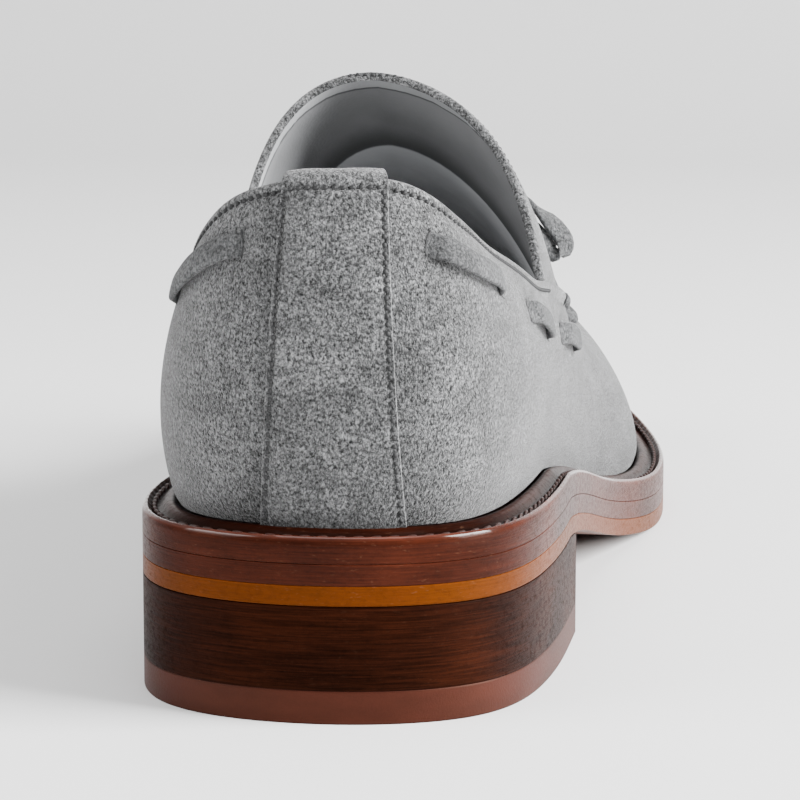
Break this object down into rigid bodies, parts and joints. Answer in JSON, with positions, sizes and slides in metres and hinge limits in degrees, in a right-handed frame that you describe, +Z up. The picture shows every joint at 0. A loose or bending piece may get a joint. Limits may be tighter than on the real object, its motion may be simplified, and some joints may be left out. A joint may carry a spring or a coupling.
{
  "type": "tassel loafer",
  "caption": "Low slip-on dress shoe for the right foot with a raised apron, a lace through the collar, a bow with tassels, a stitched welt and a stacked heel.",
  "frame": {"origin": "on the floor, under the middle of the sole's bounding box", "axes": "+X towards the outer side of the foot, +Y towards the toe, +Z up"},
  "size_m": [0.1014, 0.292, 0.105],
  "materials": {
    "grey_suede": "napped suede",
    "grey_lace": "napped suede thong",
    "welt_brown": "waxed edge",
    "midsole_brown": "waxed edge",
    "outsole_amber": "burnished edge",
    "stacked_leather": "burnished stacked leather",
    "top_lift_rubber": "satin",
    "insole_grey": "smooth lining leather"
  },
  "bodies": {
    "root": {"upper": "grey_suede", "back_strip": "grey_suede", "lace_bar_outer_1": "grey_lace", "lace_bar_outer_2": "grey_lace", "lace_bar_outer_3": "grey_lace", "lace_bar_inner_1": "grey_lace", "lace_bar_inner_2": "grey_lace", "lace_bar_inner_3": "grey_lace", "lace_band": "grey_lace", "lace_knot": "grey_lace", "bow_loop_outer": "grey_lace", "bow_loop_inner": "grey_lace", "lace_end_outer": "grey_lace", "lace_end_inner": "grey_lace", "tassel_outer": "grey_lace", "tassel_inner": "grey_lace", "welt": "welt_brown", "midsole": "midsole_brown", "outsole": "outsole_amber", "heel_stack": "stacked_leather", "top_lift": "top_lift_rubber", "insole": "insole_grey"}
  },
  "joints": []
}
